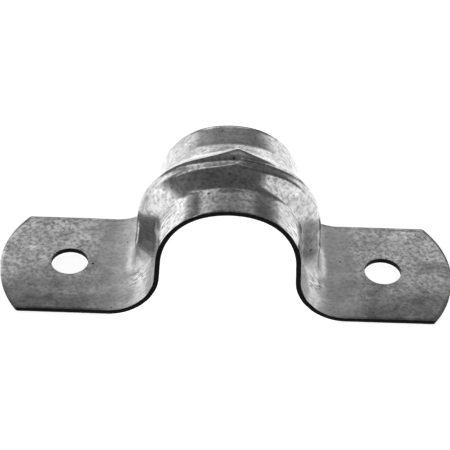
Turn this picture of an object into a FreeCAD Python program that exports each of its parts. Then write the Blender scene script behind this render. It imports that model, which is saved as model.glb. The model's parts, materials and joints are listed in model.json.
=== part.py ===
"""Two-hole conduit strap, pressed from one strip of galvanised sheet steel.

The strip is folded over the conduit: a flat foot, a bend, a leg, the round saddle, and the same again
in mirror image. A hollow rib is pressed outwards along the middle of the saddle and the legs, and it
runs out in the bends, so that the feet stay flat. Each foot has one round screw hole and a bowed end.

The model folds the plain strip first, and then puts the ribbed middle in its place: the rib is a loft
through sections of the sheet, each square to the fold.

Units are millimetres. X runs along the strap, Y along the conduit, and Z up from the wall. The origin
is on the wall, under the middle of the saddle.
"""
import FreeCAD, Part
import math
import os

# Driving dimensions of the strip
conduit_diameter = 17.9         # outside diameter of the conduit
conduit_clearance = 0.7         # how much wider than the conduit the saddle is
sheet = 0.7                     # thickness of the steel
strip_width = 19.0              # width of the strip, along the conduit
leg_splay = 2.5                 # degrees by which each leg leans outwards on its way down
foot_bend_radius = 6.3          # concave radius between a leg and the top of its foot
hole_diameter = 5.2             # screw hole
hole_from_bend = 5.83           # from the end of the bend to the middle of the hole
tip_from_hole = 9.75            # from the middle of the hole to the tip of the foot
end_bow = 3.2                   # how far the end of a foot bows out beyond its two corners
corner_radius = 0.5             # rounding of those corners

# Driving dimensions of the rib
rib_width = 8.2                 # width at the root
rib_shift = 0.5                 # how far the rib's middle stands to the far side of the strip's middle
crown_rib_height = 1.2          # height over the crown of the saddle
leg_rib_height = 2.7            # height on the legs
crest_width = 2.8               # width of the flat crest where the rib has just begun
crest_narrowing = 0.4           # how far each side of the crest moves in for a millimetre of height
crest_shift = 0.95              # how far the crest stands to the near side of the rib's middle
flank_curve_share = 0.2         # share of a flank's width that each of its two curves takes
peak_height = 1.3               # how far the crest comes to a point over the crown
peak_front_share = 0.25         # share of that point which the near side of the crest has
peak_reach = 5.0                # how far the point reaches along the crest, each way
peak_shift = 0.7                # how far the point stands to the right of the middle
runout_start = 0.1              # where in the bend the rib starts to fade, as a share of the bend
runout_end = 0.8                # where in the bend the rib is gone

# How many sections carry each curved stretch of the rib
arch_sections = 10
bend_sections = 8
join_tolerance = 0.002          # how closely the rib's edges follow the strip's arcs

# Worked out from the driving dimensions
saddle_radius = (conduit_diameter + conduit_clearance) / 2
saddle_height = saddle_radius                   # height of the conduit's middle over the wall
half_strip = strip_width / 2
half_rib = rib_width / 2
half_crest = crest_width / 2
under_bend = foot_bend_radius + sheet           # radius of the bend on the underside
straight_leg_end = math.radians(90 - leg_splay)
touching_arcs_end = math.acos((under_bend - saddle_height) / (saddle_radius + under_bend))
saddle_end = min(straight_leg_end, touching_arcs_end)
leg_drop = saddle_height + (saddle_radius + under_bend) * math.cos(saddle_end) - under_bend
leg_shift = leg_drop / math.tan(saddle_end)
bend_end = (saddle_radius + under_bend) * math.sin(saddle_end) + leg_shift
hole_distance = bend_end + hole_from_bend
tip_distance = hole_distance + tip_from_hole
corner_distance = tip_distance - end_bow
peak_lean = peak_shift / (saddle_radius + sheet)
has_straight_leg = leg_drop > sheet / 100


def out_from(base, lean, out):
    """The point in the XZ plane at this distance from the underside, where the sheet leans this far."""
    return (base[0] + out * math.sin(lean), base[1] + out * math.cos(lean))


def saddle_point(lean, out=0.0):
    """A point of the saddle where it leans this far from level."""
    base = (saddle_radius * math.sin(lean), saddle_height + saddle_radius * math.cos(lean))
    return out_from(base, lean, out)


def bend_point(lean, out=0.0):
    """A point of the bend where it leans this far from level."""
    base = (bend_end - under_bend * math.sin(lean), under_bend * (1 - math.cos(lean)))
    return out_from(base, lean, out)


def vector(point, side, across=0.0):
    """A point of the XZ plane on one side of the strap, as a vector."""
    return FreeCAD.Vector(side * point[0], across, point[1])


def side_edges(out):
    """The folded line from tip to tip, at this distance from the underside."""
    def half(side):
        tip = vector((tip_distance, out), side)
        bend_foot = vector(bend_point(0.0, out), side)
        bend_middle = vector(bend_point(saddle_end / 2, out), side)
        bend_top = vector(bend_point(saddle_end, out), side)
        edges = [Part.LineSegment(tip, bend_foot).toShape()]
        edges.append(Part.Arc(bend_foot, bend_middle, bend_top).toShape())
        if has_straight_leg:
            edges.append(Part.LineSegment(bend_top, vector(saddle_point(saddle_end, out), side)).toShape())
        return edges

    left_end = vector(saddle_point(saddle_end, out), -1)
    crown = vector(saddle_point(0.0, out), 1)
    right_end = vector(saddle_point(saddle_end, out), 1)
    return half(-1) + [Part.Arc(left_end, crown, right_end).toShape()] + half(1)


def folded_strip():
    """The plain strip, folded, with square ends."""
    edges = side_edges(0.0) + side_edges(sheet)
    for side in (1, -1):
        tip = [vector((tip_distance, out), side) for out in (0, sheet)]
        edges.append(Part.LineSegment(tip[0], tip[1]).toShape())
    profile = Part.Face(Part.Wire(Part.__sortEdges__(edges)))
    profile.translate(FreeCAD.Vector(0, -half_strip, 0))
    return profile.extrude(FreeCAD.Vector(0, strip_width, 0))


def blank():
    """The strap's outline seen from above, as a tall block: straight sides, bowed ends, round corners."""
    signs = ((-1, -1), (1, -1), (1, 1), (-1, 1))
    corners = [FreeCAD.Vector(x * corner_distance, y * half_strip, 0) for x, y in signs]
    right_tip = FreeCAD.Vector(tip_distance, 0, 0)
    left_tip = FreeCAD.Vector(-tip_distance, 0, 0)
    outline = Part.Wire([
        Part.LineSegment(corners[0], corners[1]).toShape(),
        Part.Arc(corners[1], right_tip, corners[2]).toShape(),
        Part.LineSegment(corners[2], corners[3]).toShape(),
        Part.Arc(corners[3], left_tip, corners[0]).toShape(),
    ])
    block = Part.Face(outline).extrude(FreeCAD.Vector(0, 0, 2 * saddle_height + 2 * sheet))
    upright = [edge for edge in block.Edges if abs(edge.tangentAt(edge.FirstParameter).z) > 0.5]
    return block.makeFillet(corner_radius, upright)


def screw_hole(side):
    """The punch that makes one screw hole."""
    return Part.makeCylinder(hole_diameter / 2, sheet, FreeCAD.Vector(side * hole_distance, 0, 0))


def rib_height(lean):
    """Height of the rib where the sheet leans this far from level: least at the crown, most on a leg."""
    return crown_rib_height + (leg_rib_height - crown_rib_height) * math.sin(lean) ** 2


def peak_at(distance):
    """Extra height of the crest at this distance from its point."""
    return peak_height * max(0.0, 1 - distance / peak_reach) ** 2


def crowded(step, steps):
    """The share of a stretch that a section stands at: closer together at both of its ends."""
    return (1 - math.cos(math.pi * step / steps)) / 2


def fade(share):
    """How much of the rib is left at this share of the bend, from 1 to 0."""
    way = (share - runout_start) / (runout_end - runout_start)
    way = min(max(way, 0.0), 1.0)
    return (1 + math.cos(math.pi * way)) / 2


def flank_slope(height, width):
    """Steepest slope of a flank made of a curve, a straight and a curve, in radians."""
    half_tangent = 0.0
    for _ in range(40):
        straight = (2 - 4 * flank_curve_share) / (1 - half_tangent ** 2)
        half_tangent = height / width / (2 * flank_curve_share + straight)
    return 2 * math.atan(half_tangent)


def flank(height, width, level):
    """Control points of one flank, as (across, out): root curve, then crest curve.

    The middle of the sheet has a round curve at the root and another at the crest, with a straight
    between them. level is +1 for the outer skin and -1 for the inner one, half a sheet to either side.
    """
    run = flank_curve_share * width
    slope = flank_slope(height, width)
    rise = run * math.tan(slope / 2)
    half_cosine = math.cos(slope / 2)
    handle = 2 * run / (3 * half_cosine * (1 + half_cosine))
    bulge = level * sheet / 2 * math.sin(slope) / run
    off = level * sheet / 2
    root_handle = handle * (1 - bulge)
    crest_handle = handle * (1 + bulge)
    along = (-math.cos(slope), math.sin(slope))
    square = (math.sin(slope) * off, math.cos(slope) * off)
    root = (half_rib, off)
    root_end = (half_rib - run + square[0], rise + square[1])
    crest_start = (half_rib - width + run + square[0], height - rise + square[1])
    crest = (half_rib - width, height + off)
    root_pull = (root_end[0] - along[0] * root_handle, root_end[1] - along[1] * root_handle)
    crest_pull = (crest_start[0] + along[0] * crest_handle, crest_start[1] + along[1] * crest_handle)
    root_curve = [root, (root[0] - root_handle, root[1]), root_pull, root_end]
    crest_curve = [crest_start, crest_pull, (crest[0] + crest_handle, crest[1]), crest]
    return root_curve, crest_curve


def bezier(points):
    """One cubic edge from its four control points."""
    curve = Part.BezierCurve()
    curve.setPoles(points)
    return curve.toShape()


def rib_skin(base, lean, side, height, peak, level):
    """Edges of one skin of the rib, from its near root to its far root."""
    def placed(points, sign):
        across = [rib_shift + sign * point[0] for point in points]
        out = [sheet / 2 + point[1] for point in points]
        return [vector(out_from(base, lean, o), side, a) for a, o in zip(across, out)]

    width = half_rib - half_crest + crest_narrowing * height
    near_flank = flank(height + peak_front_share * peak, width - crest_shift, level)
    far_flank = flank(height + peak, width + crest_shift, level)
    near_root, near_crest = [placed(points, -1) for points in near_flank]
    far_root, far_crest = [placed(points, 1) for points in far_flank]
    step = FreeCAD.Vector(0, (far_crest[3].y - near_crest[3].y) / 3, 0)
    crest = [near_crest[3], near_crest[3] + step, far_crest[3] - step, far_crest[3]]
    return [
        bezier(near_root),
        Part.LineSegment(near_root[3], near_crest[0]).toShape(),
        bezier(near_crest),
        bezier(crest),
        bezier(far_crest[::-1]),
        Part.LineSegment(far_crest[0], far_root[3]).toShape(),
        bezier(far_root[::-1]),
    ]


def rib_section(base, lean, side, height, peak=0.0):
    """Closed outline of the ribbed middle of the sheet, cut square to the fold."""
    inner = rib_skin(base, lean, side, height, peak, -1)
    outer = rib_skin(base, lean, side, height, peak, 1)
    near_root = Part.LineSegment(inner[0].firstVertex().Point, outer[0].firstVertex().Point).toShape()
    far_root = Part.LineSegment(inner[-1].lastVertex().Point, outer[-1].lastVertex().Point).toShape()
    return Part.Wire(Part.__sortEdges__(inner + [far_root] + outer + [near_root]))


def rib_over_saddle(side):
    """Half of the rib over the saddle, from the point of its crest down to the leg."""
    start = side * peak_lean
    sections = []
    for step in range(arch_sections + 1):
        turned = (saddle_end - start) * crowded(step, arch_sections)
        lean = start + turned
        peak = peak_at(turned * (saddle_radius + sheet))
        sections.append(rib_section(saddle_point(lean), lean, side, rib_height(lean), peak))
    return Part.makeLoft(sections, True, False)


def rib_on_leg(side):
    """The rib on the straight leg, at its full height."""
    height = rib_height(saddle_end)
    ends = (saddle_point(saddle_end), bend_point(saddle_end))
    return Part.makeLoft([rib_section(base, saddle_end, side, height) for base in ends], True, True)


def rib_in_bend(side):
    """The rib running out in the bend."""
    sections = []
    for step in range(bend_sections + 1):
        share = crowded(step, bend_sections)
        lean = saddle_end * (1 - share)
        height = rib_height(saddle_end) * fade(share)
        sections.append(rib_section(bend_point(lean), lean, side, height))
    return Part.makeLoft(sections, True, False)


strip = folded_strip().common(blank())
rib_place = Part.makeBox(2 * bend_end, rib_width, 2 * saddle_height + 2 * sheet,
                         FreeCAD.Vector(-bend_end, rib_shift - half_rib, 0))
strip = strip.cut([rib_place, screw_hole(1), screw_hole(-1)])

rib = []
for side in (1, -1):
    rib.append(rib_over_saddle(side))
    if has_straight_leg:
        rib.append(rib_on_leg(side))
    rib.append(rib_in_bend(side))

strap = strip.multiFuse(rib, join_tolerance).removeSplitter()

os.makedirs("parts", exist_ok=True)
strap.Solids[0].exportStep("parts/strap.step")
box = strap.BoundBox
print("strap", "valid", strap.isValid(), "solids", len(strap.Solids), "faces", len(strap.Faces))
print("size", round(box.XLength, 3), round(box.YLength, 3), round(box.ZLength, 3))
print("volume", round(strap.Volume, 2), "leg", round(leg_drop, 3))
print("hole spacing", round(2 * hole_distance, 3))
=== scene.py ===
# %% [markdown]
# # A two-hole conduit strap
#
# A conduit strap holds a steel conduit against a wall. It is one strip of galvanised sheet steel, 0.7 mm
# thick: cut to shape, punched with two holes, folded over a round former, and pressed so that a hollow rib
# stands up along its middle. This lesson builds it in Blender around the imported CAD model, which stays the
# measure for every length.

# %% Load the frame
import json
import math
import bpy
import numpy as np
from mathutils import Matrix, Vector


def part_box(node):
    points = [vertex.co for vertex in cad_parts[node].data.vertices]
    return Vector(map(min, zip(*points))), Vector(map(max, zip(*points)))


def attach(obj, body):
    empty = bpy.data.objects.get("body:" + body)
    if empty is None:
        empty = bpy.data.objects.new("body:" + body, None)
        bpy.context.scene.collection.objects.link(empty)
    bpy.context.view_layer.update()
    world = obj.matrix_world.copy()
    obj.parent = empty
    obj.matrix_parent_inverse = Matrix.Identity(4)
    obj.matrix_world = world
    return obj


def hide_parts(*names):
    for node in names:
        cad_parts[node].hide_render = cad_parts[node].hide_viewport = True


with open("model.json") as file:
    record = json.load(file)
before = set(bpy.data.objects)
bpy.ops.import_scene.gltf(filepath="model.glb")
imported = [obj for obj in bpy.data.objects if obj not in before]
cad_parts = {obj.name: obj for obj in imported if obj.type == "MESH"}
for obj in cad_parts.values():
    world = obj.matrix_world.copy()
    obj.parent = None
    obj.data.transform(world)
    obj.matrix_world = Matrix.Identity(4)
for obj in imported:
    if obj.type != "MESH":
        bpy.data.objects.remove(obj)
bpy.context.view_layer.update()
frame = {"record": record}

MM = 0.001    # a millimetre in Blender's metres

# %% [markdown]
# ## Sizes
#
# The saddle's radius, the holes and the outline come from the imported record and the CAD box. What the
# record doesn't hold, such as the radius of the bends and the height of the rib, is written where it is
# first needed, with the values of the CAD source. Forms finer than the CAD model has, such as the lip of
# the crest and the burr, are named beside them. All is in millimetres, and becomes metres at the very end.

# %% Sizes of the folded strip
mounts = {mount["name"]: mount for mount in frame["record"]["mounts"]}
_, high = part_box("strap")

saddle_radius = mounts["conduit_saddle"]["dims"]["r_mm"]
hole_radius = mounts["screw_holes"]["dims"]["hole_r_mm"]
hole_distance = mounts["screw_holes"]["dims"]["spacing_x_mm"] / 2
tip_distance = high[0] / MM
half_strip = high[1] / MM

sheet = 0.7               # thickness of the sheet
leg_splay = 2.5           # degrees that a leg leans out from upright
foot_bend_radius = 6.3    # inner radius of the bend between a leg and its foot

saddle_end = math.radians(90 - leg_splay)
under_bend = foot_bend_radius + sheet
leg_drop = saddle_radius + (saddle_radius + under_bend) * math.cos(saddle_end) - under_bend
leg_shift = leg_drop / math.tan(saddle_end)
bend_end = (saddle_radius + under_bend) * math.sin(saddle_end) + leg_shift
print("bend ends at", round(bend_end, 2), "mm, leg", round(leg_drop, 2), "mm")

# %% [markdown]
# ## The folded line
#
# Seen from the front, the strap is a line that bends: an arc over the conduit, a short straight leg, an
# arc the other way, and a flat foot. A curve object could follow it, but the rib has to stand square to
# the line everywhere. So the line is a function of the length walked along the middle of the sheet. It
# gives a point and the lean of the sheet there, and everything else is laid on top of it.

# %% The line along the middle of the sheet
saddle_middle = saddle_radius + sheet / 2
bend_middle = under_bend - sheet / 2
saddle_length = saddle_middle * saddle_end
leg_length = math.hypot(leg_drop, leg_shift)
bend_length = bend_middle * saddle_end
bend_start_at = saddle_length + leg_length
foot_start_at = bend_start_at + bend_length


def folded_line(walked):
    """Point (x, z) and lean of the sheet's middle after this way from the crown, both sides.

    On the saddle and the bend the lean is the way divided by the radius, and the point is the arc's
    centre plus the radius times the sine and cosine of the lean. On the leg both run straight on.
    """
    side = np.sign(walked)
    way = np.abs(walked)
    on_leg = np.clip(way - saddle_length, 0, leg_length) / leg_length
    in_bend = np.clip(way - bend_start_at, 0, bend_length)
    lean = np.minimum(way, saddle_length) / saddle_middle - in_bend / bend_middle
    past = way >= saddle_length
    x_leg = saddle_middle * math.sin(saddle_end) + on_leg * leg_shift
    z_leg = saddle_radius + saddle_middle * math.cos(saddle_end) - on_leg * leg_drop
    x = np.where(past, x_leg, saddle_middle * np.sin(lean))
    z = np.where(past, z_leg, saddle_radius + saddle_middle * np.cos(lean))
    turning = way >= bend_start_at
    x = np.where(turning, bend_end - bend_middle * np.sin(lean), x)
    z = np.where(turning, under_bend - bend_middle * np.cos(lean), z)
    return side * x, z, side * lean


def tilt_of(walked):
    """Angle walked round the saddle: the way divided by the radius, and no more past its end."""
    return np.minimum(np.abs(walked), saddle_length) / saddle_middle


def share_of_bend(walked):
    """0 where the bend starts and 1 where it ends, running on before and after."""
    return (np.abs(walked) - bend_start_at) / bend_length


def fade(share):
    """From 1 to 0 as the share goes from 0 to 1, level at both ends: half of one plus a cosine."""
    return (1 + np.cos(math.pi * np.clip(share, 0, 1))) / 2


print("half of the line is", round(foot_start_at + tip_distance - bend_end, 2), "mm long")

# %% [markdown]
# ## The rib
#
# The rib makes the thin sheet stiff. A press pushed it up from below, so its flanks are smooth: each is an
# arc, a straight and an arc. It is low over the crown, where it comes to a small point, high on the legs,
# and it runs out in the bends. Over the crown the press pinched the back of the crest to a sharp ridge. A
# displacement texture would only guess at this shape. Here its height is a function of the way along the
# strap and of the distance across it.

# %% Height of the rib
crown_rib_height = 1.2    # over the crown, without the point
leg_rib_height = 2.7      # on the legs
runout_start = 0.1        # shares of the bend between which the rib runs out
runout_end = 0.8
peak_height = 1.3         # what the point adds at the crown
peak_reach = 5.0          # distance along the strap at which the point has run out
peak_shift = 0.7          # how far to the right of the middle the point stands


def rib_heights(walked):
    """Smooth height of the rib, and what the point of the crest adds to it.

    The height grows from the crown to the legs with the square of the sine of the tilt. In the bend it
    fades as a cosine. The point falls with the square of what is left of its reach.
    """
    grown = (leg_rib_height - crown_rib_height) * np.sin(tilt_of(walked)) ** 2
    runout = (np.clip(share_of_bend(walked), 0, 1) - runout_start) / (runout_end - runout_start)
    outer = (saddle_radius + sheet) / saddle_middle
    distance = np.abs(walked * outer - peak_shift)
    peak = peak_height * np.maximum(0, 1 - distance / peak_reach) ** 2
    return (crown_rib_height + grown) * fade(runout), peak


print("highest point of the crest", crown_rib_height + peak_height, "mm above the strip")

# %% Outline of the rib across the strip
half_rib = 4.1            # from the rib's middle to a root, on the legs
rib_shift = 0.5           # how far the rib's middle stands behind the strip's
half_crest = 1.4          # half the width of the crest where the rib has just begun
crest_narrowing = 0.4     # how far each side of the crest moves in for a millimetre of height
crest_shift = 0.95        # how far the crest stands to the near side of the rib's middle
crest_widening = 0.12     # how far its far side moves out again over the crown
flank_curve_share = 0.2   # share of a flank's width that each of its arcs takes
far_sharpness = 0.8       # how much of the far crest's arc is gone over the crown
root_spread = 2.2         # how much further out the near root lies over the crown
far_spread = 0.8          # the same for the far root
root_softness = 1.3       # what the near root's arc gains over the crown, as a share of its spread
crest_step = 0.3          # how far the near side of the crest is sunk, left and right of the point
peak_front_share = 0.25   # share of the point that the near side of the crest has
crest_power = 6           # how suddenly the crest rises to its far edge
peak_crest_power = 4      # the same at the point
lip_share = 0.5           # share of the far flank that is a thin lip, over the crown
peak_lip_share = 0.8      # share of the point that is a lip
lip_reach = 1.8           # way across in which the lip has fallen
lip_growth = 0.7          # how much longer, as a share, this way is behind the point
lip_power = 1.3           # 1 would be a straight fall, more is hollow


def far_edge_of_crest(smooth, ease):
    """Distance of the crest's far edge, the ridge, from the rib's middle: less where the rib is high."""
    return half_crest - crest_narrowing * smooth - crest_shift + crest_widening * ease


def ridge_at(walked):
    """Place of the ridge across the strip."""
    return rib_shift + far_edge_of_crest(rib_heights(walked)[0], np.cos(tilt_of(walked)) ** 2)


def rib_profile(across, smooth, peak, ease):
    """Height of the sheet's middle above the plain strip, at this distance across.

    From root to crest each flank is an arc that starts level, a straight, and an arc that ends level.
    Where ease is 1, at the crown, both roots lie out by their whole spread. As ease falls to 0 on the way
    to the legs, the far root draws in evenly. The near one soon draws in by half, stays there for a while,
    and then draws in fully. A share of the far flank's height is a lip, which falls behind the ridge with
    the power 1.3 of what is left of its reach. The crest goes from its near to its far height with the
    sixth power of the way, or the fourth at the point, so that only its far edge stands up sharply.
    """
    across = across - rib_shift
    at_peak = peak / peak_height
    sunk = crest_step * ease * (1 - at_peak)
    near_edge = half_crest - crest_narrowing * smooth + crest_shift
    far_edge = far_edge_of_crest(smooth, ease)
    near, far = smooth + peak_front_share * peak - sunk, smooth + peak

    on_near = across < -crest_shift
    outward = np.where(on_near, -across, across)
    edge_at = np.where(on_near, near_edge, far_edge)
    lip = np.where(on_near, 0, ease * (lip_share * smooth + peak_lip_share * peak))
    height = np.where(on_near, near, far) - lip

    width = half_rib - edge_at
    near_spread = root_spread * (1 - (1 - ease) ** 3 + ease ** 4) / 2
    spread = np.where(on_near, near_spread, far_spread * ease)
    sharpened = np.where(on_near, 0, far_sharpness * flank_curve_share) * ease
    crest_run = (flank_curve_share - sharpened) * width
    root_run = flank_curve_share * width + np.where(on_near, root_softness, 0) * root_spread * ease ** 4

    # The straight's length depends on the slope and the slope on that length: thirty rounds settle both.
    half_tangent = np.zeros_like(height)
    for _ in range(30):
        straight_run = 2 * (width + spread - root_run - crest_run) / (1 - half_tangent ** 2)
        half_tangent = height / (root_run + crest_run + straight_run)
    slope = np.maximum(2 * np.arctan(half_tangent), 1e-6)
    root_radius = root_run / np.sin(slope)
    crest_radius = crest_run / np.sin(slope)

    inward = half_rib + spread - outward
    from_crest = outward - edge_at
    root_arc = root_radius - np.sqrt(np.maximum(root_radius ** 2 - np.clip(inward, 0, root_run) ** 2, 0))
    straight = root_run * np.tan(slope / 2) + (inward - root_run) * np.tan(slope)
    drop = crest_radius - np.sqrt(np.maximum(crest_radius ** 2 - np.clip(from_crest, 0, crest_run) ** 2, 0))
    flank = np.where(inward < root_run, root_arc, np.where(from_crest > crest_run, straight, height - drop))
    reach = lip_reach * (1 + lip_growth * at_peak)
    flank = flank + lip * (1 - np.clip(from_crest / reach, 0, 1)) ** lip_power

    step = np.clip((across + near_edge) / (near_edge + far_edge), 0, 1)
    crest = near + (far - near) * step ** (crest_power - (crest_power - peak_crest_power) * at_peak)
    return np.where(inward <= 0, 0, np.where(from_crest > 0, flank, crest))


print("the ridge stands", round(float(ridge_at(0.0)), 2), "mm behind the strip's middle at the crown")

# %% [markdown]
# ## Hand of the press
#
# Thin sheet never comes out of a press quite flat. Where it is bent hard it puckers, and the feet are a
# little wavy. A sum of slow waves, each with its own direction and phase, gives this from a seeded draw,
# so that every run makes the same strap. Noise from a texture would move the surface too, but here the
# waves can be strong in the bends and weak on the feet.

# %% Small unevenness
draw = np.random.default_rng(7)


def wave_set(longest, shortest, count):
    """Length in mm, direction and phase of each wave in a set, drawn once."""
    return np.stack([np.geomspace(longest, shortest, count), draw.uniform(0, 2 * math.pi, count),
                     draw.uniform(0, 2 * math.pi, count)], axis=-1)


def summed(waves, along, across):
    """Sum of plane waves, each as high as it is long, divided so that the sum stays under 1."""
    length, direction, phase = waves.T
    way = along[..., None] * np.cos(direction) + across[..., None] * np.sin(direction)
    return (np.sin(2 * math.pi * way / length + phase) * length).sum(axis=-1) / length.sum()


def bell(*shares):
    """1 where every share is 0, and falling: e to the power of minus the sum of their squares."""
    return np.exp(-sum(share ** 2 for share in shares))


slow_waves = wave_set(14, 5, 5)
quick_waves = wave_set(4.5, 1.6, 7)
wrinkle_waves = wave_set(1.3, 0.6, 5)
print("waves drawn", len(slow_waves) + len(quick_waves) + len(wrinkle_waves))

# %% Where the sheet is uneven
slow_height = 0.05        # height of the slow waves
foot_calm = 0.6           # share of them that the flat feet don't have
quick_height = 0.012      # height of the quick waves all over
pucker_height = 0.05      # what they gain in the bends
pucker_middle = 0.45      # where in the bend that is, and how far it goes, as shares of the bend
pucker_reach = 0.4
groove_depth = 0.05       # a fine groove along the near root, over the crown: where it lies across,
groove_at = -4.6          # and its half width and half length
groove_width = 0.28
groove_reach = 6.5
wrinkle_height = 0.07     # wrinkles where the press crushed each bend, in front of the rib: where they
crushed_at = -4.3         # lie across, and their half length and half width
crushed_long = 1.6
crushed_wide = 1.5

# Place along and across, half length, half width and height of the marks of the press, in mm.
PRESS_MARKS = [(-16.7, -2.4, 1.1, 0.9, -0.26), (17.2, -2.95, 2.4, 0.3, -0.08), (16.6, -1.9, 2.2, 0.5, 0.05)]


def crushed(along, across, long, wide):
    """1 in the middle of the crushed sheet of each bend, falling as a bell of these half lengths."""
    return bell((np.abs(along) - bend_start_at - 0.5 * bend_length) / long, (across - crushed_at) / wide)


def unevenness(along, across):
    """How far the sheet stands out from its ideal shape, in mm.

    It is the sum of slow waves all over, quick waves that grow in the bends, a groove, wrinkles where the
    sheet was crushed, and the marks of the press, each of them a bell.
    """
    in_bend = bell((share_of_bend(along) - pucker_middle) / pucker_reach)
    on_foot = np.clip((np.abs(along) - foot_start_at) / 2, 0, 1)
    out = summed(slow_waves, along, across) * slow_height * (1 - foot_calm * on_foot)
    out = out + summed(quick_waves, along, across) * (quick_height + pucker_height * in_bend)
    out = out - groove_depth * bell((across - groove_at) / groove_width, (along / groove_reach) ** 2)
    wrinkled = crushed(along, across, crushed_long, crushed_wide)
    out = out + summed(wrinkle_waves, along, across) * wrinkle_height * wrinkled
    for mark_along, mark_across, long, wide, height in PRESS_MARKS:
        out = out + height * bell((along - mark_along) / long, (across - mark_across) / wide)
    return out


print("marks of the press", len(PRESS_MARKS))

# %% [markdown]
# ## From a place on the flat strip to a point in space
#
# Every point of the mesh starts as a place on the flat, unfolded strip: so far along and so far across.
# One function folds it. A lattice or a Simple Deform modifier could bend a flat mesh as well, but neither
# keeps the lengths that the CAD model gives, and neither knows where the rib pulled the edges in.

# %% Fold the strip
drawn_in = 0.3            # how far the rib drew each long edge in
near_droop = 0.16         # how far it drew the near edge down
far_droop = 0.28          # the same for the far edge
far_droop_power = 1.3     # the far edge goes down almost straight, the near one with the square
springback = 0.12         # how far the crown stays low and the shoulders stand full
foot_bow = 0.15           # how far the middle of a foot stands above its long edges
burr = 0.06               # height of what the shears pushed up along the far edge
burr_width = 0.12


def on_strap(along, across):
    """Points of the sheet's middle: the folded line, moved out along its own normal by the rib.

    Springback leaves the crown a little flat and the shoulders full, as a cosine of four times the tilt,
    and fades on the legs. Where the rib was pressed up, it drew the edges in, and down with a power of the
    way from its root. The feet bow up in the middle with the square of the way across. The burr is a bell
    at the far edge.
    """
    x, z, lean = folded_line(along)
    flat = np.sign(along) * np.maximum(np.abs(along) - foot_start_at, 0)
    height, peak = rib_heights(along)
    tilt = tilt_of(along)
    out = rib_profile(across, height, peak, np.cos(tilt) ** 2)

    shoulder = math.pi / 4
    to_leg = fade((tilt - shoulder) / (saddle_end - shoulder))
    fading = fade(share_of_bend(along))
    beside = np.maximum(np.abs(across - rib_shift) - half_rib, 0) / (half_strip - half_rib)
    droop = np.where(across > 0, far_droop * beside ** far_droop_power, near_droop * beside ** 2)
    out = out + springback * np.where(tilt < shoulder, -np.cos(4 * tilt), to_leg)
    out = out - droop * fading + unevenness(along, across)
    out = out + foot_bow * (1 - fading) * (1 - (across / half_strip) ** 2)
    out = out + burr * bell((half_strip - across) / burr_width)
    y = across * (1 - drawn_in / half_strip * fading)
    return np.stack([x + flat + out * np.sin(lean), y, z + out * np.cos(lean)], axis=-1)


crown = on_strap(np.array([peak_shift]), np.array([ridge_at(0.0)]))[0]
print("the point of the crest in mm:", [round(float(v), 2) for v in crown])

# %% [markdown]
# ## One mesh for the whole strap
#
# The folded middle is a plain grid of the two distances. One of its rows follows the ridge, with a row
# close by on either side, because light on metal shows every step that a ridge takes from row to row. A foot
# has a round hole, so its grid runs in rings: the inner ring is the hole, the outer ring is the outline of
# the foot, and straight spokes join them. Where a foot meets the fold its outer ring uses the grid's own
# points, so the surface stays closed. Cutting the hole with a Boolean would leave long thin faces that
# catch the light badly.

# %% Grid of the folded middle
near_rows, rib_rows, far_rows = 20, 54, 18
steps_along = 281
rib_margin = 0.2          # how far the close rows go on beyond the roots
ridge_gap = 0.05          # distance between the ridge's row and the two beside it
follow_reach = 2.5        # how far from the ridge the other rows still give way to it
follow_height = 0.3       # below this height of the rib its row runs straight again

rib_from, rib_to = rib_shift - half_rib - rib_margin, rib_shift + half_rib + rib_margin
rows = np.concatenate([
    np.linspace(-half_strip, rib_from, near_rows, endpoint=False),
    np.linspace(rib_from, rib_to, rib_rows, endpoint=False),
    np.linspace(rib_to, half_strip, far_rows),
])
crown_ridge = ridge_at(0.0)
rows = rows[np.abs(rows - crown_ridge) > 2 * ridge_gap]
rows = np.sort(np.append(rows, crown_ridge + ridge_gap * np.array([-1, 0, 1])))

along_line = np.linspace(-foot_start_at, foot_start_at, steps_along)
along_grid, across_grid = np.meshgrid(along_line, rows, indexing="ij")
still_ridge = np.clip(rib_heights(along_line)[0] / follow_height, 0, 1)
shift = (ridge_at(along_line) - crown_ridge) * still_ridge
give_way = np.clip(1 - np.abs(across_grid - crown_ridge) / follow_reach, 0, 1)
across_grid = across_grid + shift[:, None] * give_way
print("folded grid", along_grid.shape)

# %% Grid of a foot
end_bow = 3.2             # how far the end of a foot bows out
corner_radius = 0.5       # rounding of its two corners
side_steps, corner_steps, bow_steps = 30, 6, 44
ring_closeness = 1.3      # 1 would be even rings, more brings them together near the hole


def arc(centre, radius, start, end, count):
    """Points of an arc, from one angle to another, without its last point."""
    angles = np.linspace(start, end, count, endpoint=False)
    return np.stack([centre[0] + radius * np.cos(angles), centre[1] + radius * np.sin(angles)], axis=-1)


def foot_outline():
    """Flat outline of the right foot from the end of the bend, against the clock, as seen from above.

    The end is an arc through the tip and both corners, and a small arc rounds each corner.
    """
    bow_radius = (half_strip ** 2 + end_bow ** 2) / (2 * end_bow)
    bow_centre = tip_distance - bow_radius
    round_y = half_strip - corner_radius
    round_x = bow_centre + math.sqrt((bow_radius - corner_radius) ** 2 - round_y ** 2)
    bow_angle = math.atan2(round_y, round_x - bow_centre)
    near_side = np.linspace((bend_end, -half_strip), (round_x, -half_strip), side_steps, endpoint=False)[1:]
    near_corner = arc((round_x, -round_y), corner_radius, -math.pi / 2, -bow_angle, corner_steps)
    bow = arc((bow_centre, 0), bow_radius, -bow_angle, bow_angle, bow_steps)
    far_corner = arc((round_x, round_y), corner_radius, bow_angle, math.pi / 2, corner_steps)
    far_side = np.linspace((round_x, half_strip), (bend_end, half_strip), side_steps, endpoint=False)
    bend = np.stack([np.full_like(rows, bend_end), rows[::-1]], axis=-1)
    return np.concatenate([bend, near_side, near_corner, bow, far_corner, far_side])


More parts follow.
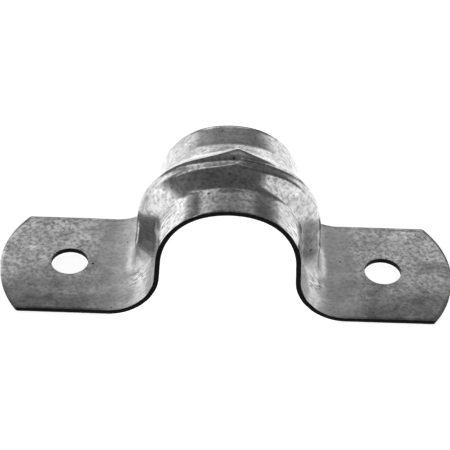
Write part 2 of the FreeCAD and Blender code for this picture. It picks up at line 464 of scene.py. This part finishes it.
def foot_rings(side, rings=22):
    """Places on the strap, as rings by spokes: each spoke runs straight from the hole to the outline.

    The rings stand closer together near the hole, so that its edge is evenly round.
    """
    outline = foot_outline()
    centre = np.array([hole_distance, 0.0])
    spokes = outline - centre
    inner = centre + hole_radius * spokes / np.linalg.norm(spokes, axis=1, keepdims=True)
    share = (np.arange(rings) / (rings - 1))[:, None, None] ** ring_closeness
    flat = inner + share * (outline - inner)
    return side * (foot_start_at + flat[..., 0] - bend_end), flat[..., 1]


print("foot outline", len(foot_outline()), "points")


# %% Join the three grids
def quads(columns, rows_count, wrap=False):
    """Corner numbers of every face of a grid whose points are stored column by column."""
    i, j = np.meshgrid(np.arange(columns - 1), np.arange(rows_count if wrap else rows_count - 1),
                       indexing="ij")
    k = (j + 1) % rows_count
    faces = [i * rows_count + j, (i + 1) * rows_count + j, (i + 1) * rows_count + k, i * rows_count + k]
    return np.stack(faces, axis=-1).reshape(-1, 4)


places = [np.stack([along_grid, across_grid], axis=-1).reshape(-1, 2)]
faces = [quads(*along_grid.shape)]
for side in (1, -1):
    along, across = foot_rings(side)
    grid = quads(*along.shape, wrap=True) + sum(map(len, places))
    faces.append(grid if side == 1 else grid[:, ::-1])
    places.append(np.stack([along, across], axis=-1).reshape(-1, 2))

# Points that the grids share become one: equal places to a thousandth of a millimetre are the same point.
places = np.concatenate(places)
_, first, merged = np.unique(np.round(places, 3), axis=0, return_index=True, return_inverse=True)
places = places[first]
faces = merged.reshape(-1)[np.concatenate(faces)]
points = on_strap(places[:, 0], places[:, 1])

strap_mesh = bpy.data.meshes.new("galvanised_strap")
strap_mesh.from_pydata((points * MM).tolist(), [], faces.tolist())
strap_mesh.shade_smooth()
flat_strip = strap_mesh.uv_layers.new(name="unfolded")
flat_strip.data.foreach_set("uv", (places[faces.reshape(-1)] * MM).ravel())

strap = bpy.data.objects.new("galvanised_strap", strap_mesh)
bpy.context.scene.collection.objects.link(strap)
print("mid-surface", len(strap_mesh.vertices), "points,", len(strap_mesh.polygons), "faces")

# %% [markdown]
# ## Traces of the die and painted sheen
#
# The die dragged over the legs and rubbed the zinc there, hardly touched the rib, and left the crown and
# the feet alone. The bends stretched the zinc until it crazed. Rubbed and crazed zinc is lightened towards
# white, and this lightening is also painted sheen where the legs, shoulders and bends catch the light. A
# band behind the ridge is a painted highlight. These places follow the strip through its bends, so each is a
# number stored on every point of the mesh, which the material reads. A painted image would do the same, but
# would be one more file to keep.

# %% Where the zinc is rubbed and crazed, and where sheen and a highlight are painted
# These shares place the rubbed zinc and, with it, a painted sheen: the zinc is lightened towards white on
# the legs, shoulders and bends, where they catch the light.
rub_sheen_start = 0.4           # share of the saddle at which the die starts to rub, and in which it is full
rub_sheen_rise = 0.35
rub_sheen_release = 0.3         # share of the bend in which it lets go
rub_sheen_left = 0.25           # what is still left after that, up to the foot
rub_sheen_end = 1.0             # how far onto the foot it goes, in mm
rub_sheen_on_rib = 0.15         # share of it on the rib, growing to all of it 1 mm beside the roots
crushed_rub_and_sheen = (1.7, 1.6)  # half length and half width of the rubbed place in each bend, in mm
ridge_highlight_behind = 1.2       # the painted highlight band's way behind the ridge, and its half width, in mm
ridge_highlight_width = 0.8
craze_start, craze_rise = 0.05, 0.3    # shares of the bend in which the crazing comes
craze_end, craze_fall = 1.35, 0.4      # and in which it goes


def store(name, values):
    """Keeps one number for every point of the mesh under this name."""
    strap_mesh.attributes.new(name, "FLOAT", "POINT").data.foreach_set("value", values)
    print(name, "from", round(float(values.min()), 2), "to", round(float(values.max()), 2))


way, across = np.abs(places[:, 0]), places[:, 1]
onset = np.clip((way - rub_sheen_start * saddle_length) / (rub_sheen_rise * saddle_length), 0, 1)
letting_go = rub_sheen_release * bend_length
release = rub_sheen_left + (1 - rub_sheen_left) * np.clip((bend_start_at + letting_go - way) / letting_go, 0, 1)
release = release * np.clip((foot_start_at + rub_sheen_end - way) / letting_go, 0, 1)
beside_rib = np.clip(np.abs(across - rib_shift) - half_rib, 0, 1)
rubbed_and_sheen = onset * onset * (3 - 2 * onset) * release * (rub_sheen_on_rib + (1 - rub_sheen_on_rib) * beside_rib)
store("rub_and_sheen", np.minimum(1, rubbed_and_sheen + crushed(way, across, *crushed_rub_and_sheen)))

# A painted highlight: a band just behind the ridge over the saddle, where the zinc is whitened to stand for
# the light that the crest's lip catches.
over_saddle = np.clip((saddle_length - way) / 2, 0, 1)
store("ridge_highlight", bell((across - ridge_at(places[:, 0]) - ridge_highlight_behind) / ridge_highlight_width) * over_saddle)

# Crazing makes the zinc of the bends rougher, and also lightens it towards white, which is partly painted
# sheen.
turned = share_of_bend(way)
coming = np.clip((turned - craze_start) / craze_rise, 0, 1)
store("crazing_and_sheen", coming * np.clip((craze_end - turned) / craze_fall, 0, 1))

# %% [markdown]
# ## Thickness and cut edges
#
# Solidify gives the sheet its thickness, half to either side, and its rim is the sheared edge. Real shears
# and punches roll the zinc a little way over that edge. A small Bevel does the same: its faces stay zinc
# and catch a thin line of light, and what is left of the rim between them is the sheared band, whose
# near-black is partly painted shade.

# %% Thickness
wall = strap.modifiers.new("Sheet thickness", "SOLIDIFY")
wall.thickness = sheet * MM
wall.offset = 0
wall.use_even_offset = True
wall.material_offset_rim = 1

edge = strap.modifiers.new("Sheared edge", "BEVEL")
edge.width = 0.13 * MM
edge.segments = 2
edge.limit_method = "ANGLE"
edge.angle_limit = math.radians(50)
edge.material = 0
print("sheet", sheet, "mm, rolled edge", round(edge.width / MM, 2), "mm")

# %% [markdown]
# ## Galvanised steel
#
# The sheet was dipped in molten zinc. Zinc freezes in small crystals, the spangle, and each crystal
# reflects a little differently. Damp air then dulls it in blotches, and handling leaves specks and fine
# scratches. So the metal is a pale zinc whose colour, roughness and bump vary at three sizes. An image of
# real zinc would show a seam somewhere, and these patterns have none.


# %% Helpers for materials
def linear(hexed):
    """sRGB hex to linear RGBA: divided by 12.92 up to 0.04045, and a power of 2.4 above it."""
    values = [int(hexed[i:i + 2], 16) / 255 for i in (1, 3, 5)]
    return tuple(v / 12.92 if v <= 0.04045 else ((v + 0.055) / 1.055) ** 2.4 for v in values) + (1.0,)


def node(tree, kind, links=(), stops=(), **settings):
    """Adds one node. Settings named in_X set the socket X; links are (socket, source) pairs.

    The stops of a colour ramp are (place, colour) pairs, with sRGB hex or a plain grey level as colour.
    """
    made = tree.nodes.new(kind)
    for name, value in settings.items():
        if name.startswith("in_"):
            key = name[3:]
            made.inputs[int(key) if key.isdigit() else key.replace("_", " ")].default_value = value
        else:
            setattr(made, name, value)
    for socket, source in links:
        tree.links.new(source, made.inputs[socket])
    for _ in stops[2:]:
        made.color_ramp.elements.new(0.5)
    for number, (place, colour) in enumerate(stops):
        element = made.color_ramp.elements[number]
        element.position = place
        element.color = linear(colour) if isinstance(colour, str) else (colour, colour, colour, 1)
    return made


def new_material(name):
    """A new material of this name, its node tree and its shader."""
    material = bpy.data.materials.new(name)
    material.use_nodes = True
    return material, material.node_tree, material.node_tree.nodes["Principled BSDF"]


# Sockets of a Mix node that mixes colours: the two colours that go in, and the one that comes out.
UNDER, OVER, MIXED = 6, 7, 2
print("the middle grey #808080 is", round(linear("#808080")[0], 3), "in linear light")

# %% Patterns of the zinc
SPANGLE = 1.3             # size of a zinc crystal in mm
BLOTCH = 4.5              # size of a dull patch in mm
GRAIN = 0.5               # size of the finest mottle in mm, drawn coarser than it is so that it shows
SCRATCH = (1.1, 0.4)      # length and width of a rub mark in mm, along and across the strip
SPECK = 1.6               # distance between the places that may have a dark speck, in mm

galvanised, tree, metal = new_material("galvanised_sheet_steel")
place = node(tree, "ShaderNodeTexCoord").outputs["Object"]
unfolded = node(tree, "ShaderNodeUVMap", uv_map="unfolded").outputs["UV"]
blotch = node(tree, "ShaderNodeTexNoise", [("Vector", place)], in_Scale=1 / (BLOTCH * MM), in_Detail=3.0,
              in_Roughness=0.6)
grain = node(tree, "ShaderNodeTexNoise", [("Vector", place)], in_Scale=1 / (GRAIN * MM), in_Detail=2.0,
             in_Roughness=0.55)
crystal = node(tree, "ShaderNodeTexVoronoi", [("Vector", place)], in_Scale=1 / (SPANGLE * MM))
stretched = node(tree, "ShaderNodeMapping", [("Vector", unfolded)],
                 in_Scale=(1 / (SCRATCH[0] * MM), 1 / (SCRATCH[1] * MM), 1.0))
scratch = node(tree, "ShaderNodeTexNoise", [("Vector", stretched.outputs[0])], in_Scale=1.0, in_Detail=2.0,
               in_Roughness=0.6)
speck = node(tree, "ShaderNodeTexVoronoi", [("Vector", place)], in_Scale=1 / (SPECK * MM))
rub_and_sheen, ridge_highlight, crazing_and_sheen = [node(tree, "ShaderNodeAttribute", attribute_name=name).outputs["Fac"]
                            for name in ("rub_and_sheen", "ridge_highlight", "crazing_and_sheen")]
print("sizes in mm: crystal", SPANGLE, "blotch", BLOTCH, "grain", GRAIN, "rub mark", SCRATCH)

# %% Colour of the zinc
# Blotches give the ground, and the mottle and the tone of each crystal are laid over it.
ground = node(tree, "ShaderNodeValToRGB", [("Fac", blotch.outputs["Fac"])],
              [(0.35, "#BEBEBE"), (0.5, "#D8D8D8"), (0.65, "#F0F0F0")])
mottle = node(tree, "ShaderNodeValToRGB", [("Fac", grain.outputs["Fac"])],
              [(0.34, "#747474"), (0.48, "#D8D8D8"), (0.58, "#FFFFFF")])
crystal_tone = node(tree, "ShaderNodeSeparateColor", [("Color", crystal.outputs["Color"])]).outputs[0]
facet = node(tree, "ShaderNodeValToRGB", [("Fac", crystal_tone)], [(0.0, "#C0C0C0"), (1.0, "#FFFFFF")])
tone = ground.outputs["Color"]
for layer in (mottle, facet):
    tone = node(tree, "ShaderNodeMix", [(UNDER, tone), (OVER, layer.outputs["Color"])], data_type="RGBA",
                blend_type="MULTIPLY", in_Factor=0.5).outputs[MIXED]

# Zinc that was rubbed or crazed is lighter, and this lightening towards white is also painted sheen on the
# legs, shoulders and bends. The band behind the ridge is a painted highlight.
bright = node(tree, "ShaderNodeMath", [(0, rub_and_sheen), (1, scratch.outputs["Fac"])], operation="MULTIPLY")
bright = node(tree, "ShaderNodeMath", [(0, crazing_and_sheen), (2, bright.outputs[0])], operation="MULTIPLY_ADD",
              in_1=0.4, use_clamp=True)
bright = node(tree, "ShaderNodeMath", [(0, bright.outputs[0]), (1, ridge_highlight)], operation="ADD", use_clamp=True)
tone = node(tree, "ShaderNodeMix", [("Factor", bright.outputs[0]), (UNDER, tone)], data_type="RGBA",
            blend_type="MIX", in_7=linear("#FFFFFF")).outputs[MIXED]

# Dark flecks lie between the rub marks, and a dark speck at one place in five.
flecks = node(tree, "ShaderNodeValToRGB", [("Fac", scratch.outputs["Fac"])],
              [(0.40, "#6A6A6A"), (0.50, "#FFFFFF")])
flecked = node(tree, "ShaderNodeMath", [(0, rub_and_sheen)], operation="MULTIPLY", in_1=0.75)
spot = node(tree, "ShaderNodeValToRGB", [("Fac", speck.outputs["Distance"])],
            [(0.08, "#484848"), (0.16, "#FFFFFF")])
chance = node(tree, "ShaderNodeSeparateColor", [("Color", speck.outputs["Color"])]).outputs[0]
chosen = node(tree, "ShaderNodeMath", [(0, chance)], operation="LESS_THAN", in_1=0.2)
for where, layer in ((flecked, flecks), (chosen, spot)):
    tone = node(tree, "ShaderNodeMix",
                [("Factor", where.outputs[0]), (UNDER, tone), (OVER, layer.outputs["Color"])],
                data_type="RGBA", blend_type="MULTIPLY").outputs[MIXED]
tree.links.new(tone, metal.inputs["Base Color"])
print("colour of the zinc from", len(tree.nodes), "nodes")

# %% Gloss and relief of the zinc
# Fresh zinc is glossy, and crazed zinc is duller. Its metallic value is a little under 1, because damp air
# leaves a thin skin of zinc carbonate, which is no metal.
metal.inputs["Metallic"].default_value = 0.88
rough = node(tree, "ShaderNodeMapRange", [("Value", grain.outputs["Fac"])], in_From_Min=0.3, in_From_Max=0.7,
             in_To_Min=0.24, in_To_Max=0.15)
rough = node(tree, "ShaderNodeMath", [(0, crazing_and_sheen), (2, rough.outputs["Result"])], operation="MULTIPLY_ADD",
             in_1=0.22)
tree.links.new(rough.outputs[0], metal.inputs["Roughness"])
scored = node(tree, "ShaderNodeMath", [(0, scratch.outputs["Fac"]), (1, rub_and_sheen)], operation="MULTIPLY")
relief = node(tree, "ShaderNodeMath", [(0, grain.outputs["Fac"]), (1, scored.outputs[0])], operation="ADD")
bump = node(tree, "ShaderNodeBump", [("Height", relief.outputs[0])], in_Strength=0.25, in_Distance=0.03 * MM)
tree.links.new(bump.outputs["Normal"], metal.inputs["Normal"])
print(galvanised.name, len(tree.nodes), "nodes")

# %% [markdown]
# ## Sheared edge
#
# Shears tear the sheet through and leave bare steel without zinc. It goes darker and dull, with faint torn
# patches. Its near-black colour is partly painted shade, darker than bare steel is, so that the edge reads
# as a thin black line around the bright sheet. A second material on the rim is simpler than a mask, because
# Solidify already knows which faces are the rim.

# %% Bare steel of the edge, painted near-black as shade
TEAR = 0.5                # size of a torn patch in mm
sheared_and_shaded, tree, steel = new_material("sheared_steel_edge_painted_shade")
place = node(tree, "ShaderNodeTexCoord").outputs["Object"]
torn = node(tree, "ShaderNodeTexNoise", [("Vector", place)], in_Scale=1 / (TEAR * MM), in_Detail=3.0)
# The near-black of this ramp is painted shade: bare steel is darker than zinc, but not this dark.
colour = node(tree, "ShaderNodeValToRGB", [("Fac", torn.outputs["Fac"])],
              [(0.35, "#040404"), (0.65, "#0E0E0E")])
tree.links.new(colour.outputs["Color"], steel.inputs["Base Color"])
steel.inputs["Metallic"].default_value = 0.95
steel.inputs["Roughness"].default_value = 0.6

strap_mesh.materials.append(galvanised)
strap_mesh.materials.append(sheared_and_shaded)
print("materials of the strap:", [material.name for material in strap_mesh.materials])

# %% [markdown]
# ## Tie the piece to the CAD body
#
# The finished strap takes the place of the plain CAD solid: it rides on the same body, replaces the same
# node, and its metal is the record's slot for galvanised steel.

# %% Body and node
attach(strap, "root")
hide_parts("strap")
print("tied", strap.name)

# %% [markdown]
# ## Floor, light and camera
#
# A plain pale floor and soft light show the metal as a studio would. Metal shows what stands around it, so
# the world matters as much as the lamps. It is bright from the floor to a low height, which gives the curves
# their white, and dim overhead, which gives the crown its grey. A bright band behind the strap, 34 to 45
# degrees up, is for the feet, which mirror that direction to the front. A large soft window stands at the
# right, and a small one behind at the left. An image of a real studio would light it as well, but it would
# be one more file.

# %% Floor
HALF_FLOOR = 3.0          # half the side of the floor in metres
SEEN_GLOW = 0.85          # what makes the paper white for the camera, and lights nothing
floor_mesh = bpy.data.meshes.new("studio_floor")
corners = [(-HALF_FLOOR, -HALF_FLOOR, 0), (HALF_FLOOR, -HALF_FLOOR, 0), (HALF_FLOOR, HALF_FLOOR, 0),
           (-HALF_FLOOR, HALF_FLOOR, 0)]
floor_mesh.from_pydata(corners, [], [(0, 1, 2, 3)])
floor = bpy.data.objects.new("studio_floor", floor_mesh)
bpy.context.scene.collection.objects.link(floor)
paper, tree, matt = new_material("pale_matt_paper")
matt.inputs["Base Color"].default_value = linear("#E6E6E6")
matt.inputs["Roughness"].default_value = 0.95
path = node(tree, "ShaderNodeLightPath")
seen = node(tree, "ShaderNodeMath", [(0, path.outputs["Is Camera Ray"])], operation="MULTIPLY",
            in_1=SEEN_GLOW)
mirrored = node(tree, "ShaderNodeMath", [(0, path.outputs["Is Glossy Ray"]),
                                         (1, path.outputs["Is Transmission Ray"])], operation="MAXIMUM")
glow = node(tree, "ShaderNodeMath", [(0, seen.outputs[0]), (1, mirrored.outputs[0])], operation="MAXIMUM")
matt.inputs["Emission Color"].default_value = (1, 1, 1, 1)
tree.links.new(glow.outputs[0], matt.inputs["Emission Strength"])
floor_mesh.materials.append(paper)
print("floor", 2 * HALF_FLOOR, "m wide")

# %% World
# Level of the light by the height of its direction, which is the sine of its elevation.
ROOM = [(0.0, 1.5), (0.2, 1.5), (0.31, 0.5), (0.43, 0.16), (0.6, 0.12), (0.8, 0.1), (1.0, 0.08)]
BAND = [(0.56, 0.0), (0.61, 0.85), (0.66, 0.85), (0.71, 0.0)]
LOWERED = 0.16            # how much lower the room's bright part ends on the right
TURNED_LEFT = -0.4        # how far the band is turned from straight behind, to the left
BAND_SIDES = (0.45, 0.7)  # the band is dark below the first and full above the second

world = bpy.data.worlds.new("studio")
bpy.context.scene.world = world
world.use_nodes = True
tree = world.node_tree
direction = node(tree, "ShaderNodeTexCoord").outputs["Generated"]
split = node(tree, "ShaderNodeSeparateXYZ", [("Vector", direction)])
to_right = node(tree, "ShaderNodeMath", [(0, split.outputs["X"])], operation="MAXIMUM", in_1=0.0)
leant = node(tree, "ShaderNodeMath", [(0, to_right.outputs[0]), (2, split.outputs["Z"])],
             operation="MULTIPLY_ADD", in_1=LOWERED)
room = node(tree, "ShaderNodeValToRGB", [("Fac", leant.outputs[0])], ROOM)
band = node(tree, "ShaderNodeValToRGB", [("Fac", split.outputs["Z"])], BAND)
aside = node(tree, "ShaderNodeMath", [(0, split.outputs["X"]), (2, split.outputs["Y"])],
             operation="MULTIPLY_ADD", in_1=TURNED_LEFT)
behind = node(tree, "ShaderNodeMapRange", [("Value", aside.outputs[0])], in_From_Min=BAND_SIDES[0],
              in_From_Max=BAND_SIDES[1])
band = node(tree, "ShaderNodeMix", [(UNDER, band.outputs["Color"]), (OVER, behind.outputs["Result"])],
            data_type="RGBA", blend_type="MULTIPLY", in_Factor=1.0)
around = node(tree, "ShaderNodeMix", [(UNDER, room.outputs["Color"]), (OVER, band.outputs[MIXED])],
              data_type="RGBA", blend_type="ADD", in_Factor=1.0)
tree.links.new(around.outputs[MIXED], tree.nodes["Background"].inputs["Color"])
print("world", len(tree.nodes), "nodes")


# %% Lamps
def soft_box(name, azimuth, elevation, wide, tall, level, distance=0.6):
    """A lamp that faces the strap from this direction, with sizes and distance in metres.

    The azimuth is 0 behind the strap and 90 at its right. level is its brightness, 1 being white paper.
    """
    azimuth, elevation = math.radians(azimuth), math.radians(elevation)
    towards = Vector((math.sin(azimuth) * math.cos(elevation), math.cos(azimuth) * math.cos(elevation),
                      math.sin(elevation)))
    light = bpy.data.lights.new(name, "AREA")
    light.shape = "RECTANGLE"
    light.size, light.size_y = wide, tall
    light.energy = level * math.pi * wide * tall
    lamp = bpy.data.objects.new(name, light)
    lamp.location = towards * distance
    lamp.rotation_mode = "QUATERNION"
    lamp.rotation_quaternion = towards.to_track_quat("Z", "Y")
    bpy.context.scene.collection.objects.link(lamp)
    print(name, "at", [round(v, 2) for v in lamp.location])


soft_box("left_window", azimuth=-27, elevation=34.5, wide=0.12, tall=0.06, level=1.0)
soft_box("right_window", azimuth=93, elevation=33, wide=0.23, tall=0.5, level=1.25)

# %% Camera
azimuth, elevation, roll = [math.radians(v) for v in (-1.197, 41.27, 2.711)]
distance = 208.3                     # from the target, in mm
target = Vector((-0.49, 0, 8.63))    # in mm
back = Vector((math.sin(azimuth) * math.cos(elevation), -math.cos(azimuth) * math.cos(elevation),
               math.sin(elevation)))
right = (-back).cross(Vector((0, 0, 1))).normalized()
up = right.cross(-back)
turned_right = right * math.cos(roll) + up * math.sin(roll)
turned_up = up * math.cos(roll) - right * math.sin(roll)
lens = bpy.data.cameras.new("camera")
lens.lens = 120.2
lens.sensor_width = 36
lens.clip_start = 0.01
lens.clip_end = 20
camera = bpy.data.objects.new("camera", lens)
turned = Matrix((turned_right, turned_up, back)).transposed()
camera.matrix_world = Matrix.Translation((target + back * distance) * MM) @ turned.to_4x4()
bpy.context.scene.collection.objects.link(camera)
bpy.context.scene.camera = camera
bpy.context.scene.view_settings.view_transform = "Standard"
print("camera at", [round(v, 3) for v in camera.matrix_world.translation])

# %% Finish
bpy.context.view_layer.update()
